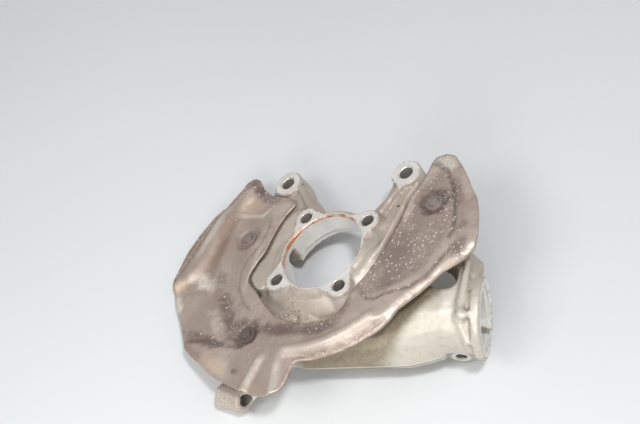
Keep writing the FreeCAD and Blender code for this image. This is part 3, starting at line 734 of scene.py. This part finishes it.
def shield_paint():
    # Weathering of the sheet, with painted highlights and painted shade among its tints
    paint = Paint("weathered_pressed_sheet", 0.38, 0.42)
    broad = paint.noise(60, 3, 0.5, 0.4)
    middle = paint.noise(18, 4, 0.6, 0.3)
    fine = paint.noise(5, 6, 0.65)
    base = paint.mix(paint.range(broad, 0.35, 0.65), colour(0.46, 0.375, 0.325), colour(0.58, 0.49, 0.43))
    base = paint.mix(paint.range(middle, 0.4, 0.75, 0, 0.35), base, colour(0.36, 0.28, 0.245))
    base = paint.mix(paint.range(fine, 0.45, 0.8, 0, 0.4), base, colour(0.30, 0.225, 0.195))
    for name, share, tint in (
        ("recess", 0.7, colour(0.345, 0.262, 0.24)),
        ("valley", 0.3, colour(0.43, 0.36, 0.325)),
        ("mottled", 0.65, colour(0.36, 0.26, 0.21)),
        # pale: partly worn spots, partly painted highlights
        ("pale", 1.0, colour(0.90, 0.83, 0.74)),
        ("peach", 0.7, colour(0.72, 0.55, 0.41)),
        ("brown", 0.55, colour(0.30, 0.215, 0.18)),
        ("rusty", 0.7, colour(0.33, 0.22, 0.165)),
        # band: dirt and painted shade
        ("band", 0.6, colour(0.24, 0.19, 0.165)),
        ("dark", 0.85, colour(0.17, 0.13, 0.12)),
        ("stain", 0.85, colour(0.14, 0.105, 0.095)),
        # painted shade along the creases
        ("crease", 0.8, colour(0.14, 0.108, 0.095)),
    ):
        patchy = paint.range(middle if name in ("rusty", "dark") else fine, 0.3, 0.6, 0.45 * share, share)
        base = paint.mix(paint.math("MULTIPLY", paint.attribute(name), patchy), base, tint)
    rim = paint.math("MULTIPLY", paint.attribute("edge"), paint.range(fine, 0.4, 0.7, 0.0, 0.4))
    base = paint.mix(rim, base, colour(0.34, 0.21, 0.14))
    spread = paint.range(paint.noise(34, 3, 0.5), 0.36, 0.52, 0.05, 1.0)
    area = paint.math("MAXIMUM", paint.attribute("recess"), paint.attribute("dark"))
    for name in ("mottled", "crease"):
        area = paint.math("MAXIMUM", area, paint.attribute(name))
    area = paint.math("MULTIPLY", paint.math("MAXIMUM", area, 0.42), spread)
    for size, rare in ((3.0, 0.40), (4.6, 0.30)):
        dots, chance = paint.cells(size)
        dots = paint.range(dots, 0.17, 0.27, 1.0, 0.0)
        dots = paint.math("MULTIPLY", dots, paint.range(chance, rare, rare + 0.05))
        dots = paint.math("MULTIPLY", dots, paint.range(area, 0.25, 0.75))
        base = paint.mix(paint.math("MULTIPLY", dots, 0.85), base, colour(0.86, 0.79, 0.71))
    roughness = paint.range(fine, 0.3, 0.7, 0.33, 0.5)
    normal = paint.bump(paint.noise(1.6, 3, 0.6), 0.08)
    normal = paint.bump(paint.noise(14, 3, 0.5), 0.07, 1.0, normal)
    return paint.finish(base, roughness, normal)


def rust_arc(paint):
    """1 in a thin band at the bore's mouth, over the arc where the photo shows rust."""
    x, y, z = paint.hub_place()
    squares = paint.plain("ADD", paint.plain("MULTIPLY", x, x), paint.plain("MULTIPLY", y, y))
    radius = paint.plain("SQRT", squares)
    ring = paint.math("MULTIPLY", paint.range(radius, 0.0438, 0.0443),
                      paint.range(radius, 0.0456, 0.0463, 1.0, 0.0))
    ring = paint.math("MULTIPLY", ring, paint.range(z, -0.0042, -0.0028))
    lean = paint.plain("SUBTRACT", y, x)
    return paint.math("MULTIPLY", ring, paint.range(lean, 0.006, 0.022))


def parting_line(paint):
    """1 on the raised line that the mould left along the arm, whose pale colour is a painted highlight, and a
    painted shade: 1 just under the line, up to 0.55 on the arm's underside below it.
    """
    parts = paint.nodes.new("ShaderNodeSeparateXYZ")
    paint.links.new(paint.place, parts.inputs["Vector"])
    run = paint.plain("MAXIMUM", paint.plain("SUBTRACT", parts.outputs["X"], 0.090), 0.0)
    rise = paint.plain("MULTIPLY", paint.plain("MULTIPLY", run, run), 1.5)
    above = paint.plain("SUBTRACT", paint.plain("ADD", parts.outputs["Z"], 0.035), rise)
    line = paint.math("MULTIPLY", paint.range(above, -0.0016, -0.0006),
                      paint.range(above, 0.0006, 0.0016, 1.0, 0.0))
    under = paint.math("MULTIPLY", paint.range(above, -0.0045, -0.0018),
                       paint.range(above, -0.0014, -0.0006, 1.0, 0.0))
    low = paint.range(above, -0.012, -0.001, 0.55, 0.0)
    side = paint.attribute("arm_side")
    return [paint.math("MULTIPLY", mask, side) for mask in (line, paint.math("MAXIMUM", under, low))]


def cast_paint():
    paint = Paint("cast_aluminium", 0.3, 0.5)
    broad = paint.noise(48, 4, 0.55, 0.5)
    fine = paint.noise(5, 5, 0.6)
    base = paint.mix(paint.range(broad, 0.35, 0.68), colour(0.50, 0.43, 0.37), colour(0.59, 0.53, 0.465))
    pale = paint.math("MULTIPLY", paint.attribute("pale"), paint.range(broad, 0.2, 0.6, 0.6, 1.0))
    base = paint.mix(pale, base, colour(0.66, 0.62, 0.545))
    base = paint.mix(paint.range(fine, 0.45, 0.8, 0, 0.35), base, colour(0.34, 0.285, 0.24))
    # Painted shadow of the shield on the arm
    olive = paint.math("MULTIPLY", paint.attribute("olive"), paint.range(fine, 0.2, 0.7, 0.75, 0.95))
    base = paint.mix(olive, base, colour(0.25, 0.205, 0.13))
    hollow = paint.range(paint.pointiness(), 0.44, 0.50, 0.7, 0.0)
    base = paint.mix(hollow, base, colour(0.25, 0.205, 0.165))
    edge = paint.range(paint.pointiness(), 0.52, 0.60, 0.0, 0.5)
    base = paint.mix(edge, base, colour(0.84, 0.80, 0.73))
    grit = paint.noise(1.9, 3, 0.6)
    rough = paint.attribute("rough")
    base = paint.mix(paint.math("MULTIPLY", rough, 0.55), base, colour(0.76, 0.69, 0.585))
    base = paint.mix(paint.math("MULTIPLY", rough, paint.range(grit, 0.50, 0.60, 0.0, 0.85)), base,
                     colour(0.24, 0.175, 0.13))
    # Painted shade under the mould line and over the arm's underside, and a painted highlight on the line
    line, under = parting_line(paint)
    base = paint.mix(paint.math("MULTIPLY", under, 0.75), base, colour(0.22, 0.19, 0.14))
    base = paint.mix(paint.math("MULTIPLY", line, 0.6), base, colour(0.80, 0.76, 0.68))
    pit = paint.near_hub_point(0.0598, 0.0655, 0.0009, 0.0019)
    base = paint.mix(pit, base, colour(0.06, 0.05, 0.045))
    roughness = paint.range(broad, 0.3, 0.7, 0.36, 0.5)
    normal = paint.bump(paint.noise(1.3, 3, 0.6), 0.12)
    normal = paint.bump(paint.math("MULTIPLY", rough, grit), 0.6, 1.0, normal)
    normal = paint.bump(paint.noise(6, 3, 0.5), 0.2, 1.0, normal)
    normal = paint.bump(line, 0.8, 1.0, normal)
    return paint.finish(base, roughness, normal)


def shaded_hole_paint():
    """Walls of the drilled holes, darkened by painted shade."""
    paint = Paint("bored_wall", 0.5, 0.4)
    fine = paint.noise(3, 4, 0.6)
    base = paint.mix(paint.range(fine, 0.35, 0.7), colour(0.44, 0.42, 0.39), colour(0.28, 0.26, 0.24))
    return paint.finish(base, paint.range(fine, 0.3, 0.7, 0.32, 0.5))


def machined_paint():
    paint = Paint("machined_aluminium", 0.35, 0.36)
    broad = paint.noise(25, 4, 0.6, 0.3)
    fine = paint.noise(3, 4, 0.6)
    base = paint.mix(paint.range(broad, 0.35, 0.7), colour(0.80, 0.785, 0.755), colour(0.93, 0.92, 0.90))
    base = paint.mix(paint.range(fine, 0.5, 0.8, 0, 0.3), base, colour(0.45, 0.41, 0.36))
    rust = rust_arc(paint)
    patches = paint.range(paint.noise(16, 3, 0.6), 0.42, 0.58, 0.12, 1.0)
    base = paint.mix(paint.math("MULTIPLY", rust, 0.5), base, colour(0.62, 0.47, 0.30))
    base = paint.mix(paint.math("MULTIPLY", rust, patches), base, colour(0.56, 0.19, 0.075))
    base = paint.mix(paint.math("MULTIPLY", rust, paint.range(fine, 0.5, 0.65, 0, 0.6)), base,
                     colour(0.35, 0.11, 0.05))
    normal = paint.bump(paint.noise(0.9, 2, 0.5), 0.04)
    return paint.finish(base, paint.range(fine, 0.3, 0.7, 0.3, 0.46), normal)


def screw_paint():
    paint = Paint("dull_screw_steel", 0.6, 0.5)
    fine = paint.noise(2.5, 4, 0.6)
    base = paint.mix(paint.range(fine, 0.35, 0.7), colour(0.42, 0.36, 0.335), colour(0.31, 0.26, 0.24))
    _, north, _ = paint.hub_place()
    base = paint.mix(paint.range(north, -0.085, -0.080, 0.75, 0.0), base, colour(0.16, 0.125, 0.115))
    return paint.finish(base, paint.range(fine, 0.3, 0.7, 0.4, 0.55), paint.bump(fine, 0.05))


def table_paint():
    paint = Paint("pale_table", 0.0, 0.55)
    broad = paint.noise(900, 2, 0.5)
    base = paint.mix(paint.range(broad, 0.3, 0.7), colour(0.74, 0.77, 0.79), colour(0.78, 0.81, 0.83))
    return paint.finish(base)


def make_screws(node):
    """The same screws with worn edges."""
    screws = new_object("flanged_screws", node.data.copy())
    bm = bmesh.new()
    bm.from_mesh(screws.data)
    bmesh.ops.remove_doubles(bm, verts=bm.verts, dist=1e-6)
    bmesh.ops.dissolve_limit(bm, angle_limit=math.radians(1), verts=bm.verts, edges=bm.edges)
    bm.to_mesh(screws.data)
    bm.free()
    worn = screws.modifiers.new("worn", "BEVEL")
    worn.width = 0.9 * MM
    worn.segments = 3
    worn.limit_method = "ANGLE"
    worn.angle_limit = math.radians(40)
    depsgraph = bpy.context.evaluated_depsgraph_get()
    mesh = bpy.data.meshes.new_from_object(screws.evaluated_get(depsgraph))
    screws.modifiers.clear()
    screws.data = mesh
    set_smooth(mesh)
    mesh.materials.clear()
    mesh.materials.append(screw_paint())
    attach(screws, "root")
    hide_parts("shield_screws")


def finish_model():
    shield = make_shield(frame["nodes"]["dust_shield"])
    shield.data.materials.append(shield_paint())
    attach(shield, "root")
    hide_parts("dust_shield")
    casting = make_casting(frame["nodes"]["knuckle"])
    casting.data.materials.clear()
    casting.data.materials.append(cast_paint())
    machine(casting, (machined_paint(), shaded_hole_paint()))
    make_screws(frame["nodes"]["shield_screws"])
    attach(casting, "root")
    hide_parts("knuckle")
    return shield, casting


shield, casting = finish_model()

# Table, light and camera

def make_table():
    bpy.ops.mesh.primitive_plane_add(size=6, location=(0, 0, TABLE_HEIGHT))
    table = bpy.context.object
    table.name = "table"
    table.data.materials.append(table_paint())
    return table


table = make_table()


def area_light(name, place, target, size, power, colour=(1, 1, 1)):
    data = bpy.data.lights.new(name, "AREA")
    data.shape = "DISK"
    data.size = size
    data.energy = power
    data.color = colour
    light = bpy.data.objects.new(name, data)
    light.location = place
    light.rotation_euler = (Vector(target) - Vector(place)).to_track_quat("-Z", "Y").to_euler()
    bpy.context.scene.collection.objects.link(light)
    return light


area_light("key_light", (0.53, -0.19, 1.5), (0, 0, 0), 0.2, 12.0, (0.98, 0.99, 1.0))
area_light("ridge_light", (-0.4, -0.8, 1.33), (0, 0, 0), 0.7, 7.0, (1.0, 0.98, 0.95))
area_light("front_light", (0.3, -1.15, 0.7), (0, 0, 0), 0.7, 5.5, (1.0, 0.99, 0.96))

world = bpy.data.worlds.new("studio")
world.use_nodes = True
world.node_tree.nodes["Background"].inputs["Color"].default_value = (0.93, 0.91, 0.88, 1)
world.node_tree.nodes["Background"].inputs["Strength"].default_value = 0.38
bpy.context.scene.world = world

CAMERA_PLACE = Vector((0.3353, -0.4132, 0.7960))
CAMERA_RIGHT = Vector((0.906, 0.382, -0.185))
CAMERA_UP = Vector((-0.223, 0.800, 0.557))
bpy.context.scene.view_settings.view_transform = "Standard"
camera_data = bpy.data.cameras.new("camera")
camera_data.sensor_width = 36
camera_data.lens = 36 * 950 / 640
camera = bpy.data.objects.new("camera", camera_data)
right = CAMERA_RIGHT.normalized()
back = right.cross(CAMERA_UP).normalized()
up = back.cross(right)
camera.matrix_world = Matrix.Translation(CAMERA_PLACE) @ Matrix((right, up, back)).transposed().to_4x4()
bpy.context.scene.collection.objects.link(camera)
bpy.context.scene.camera = camera
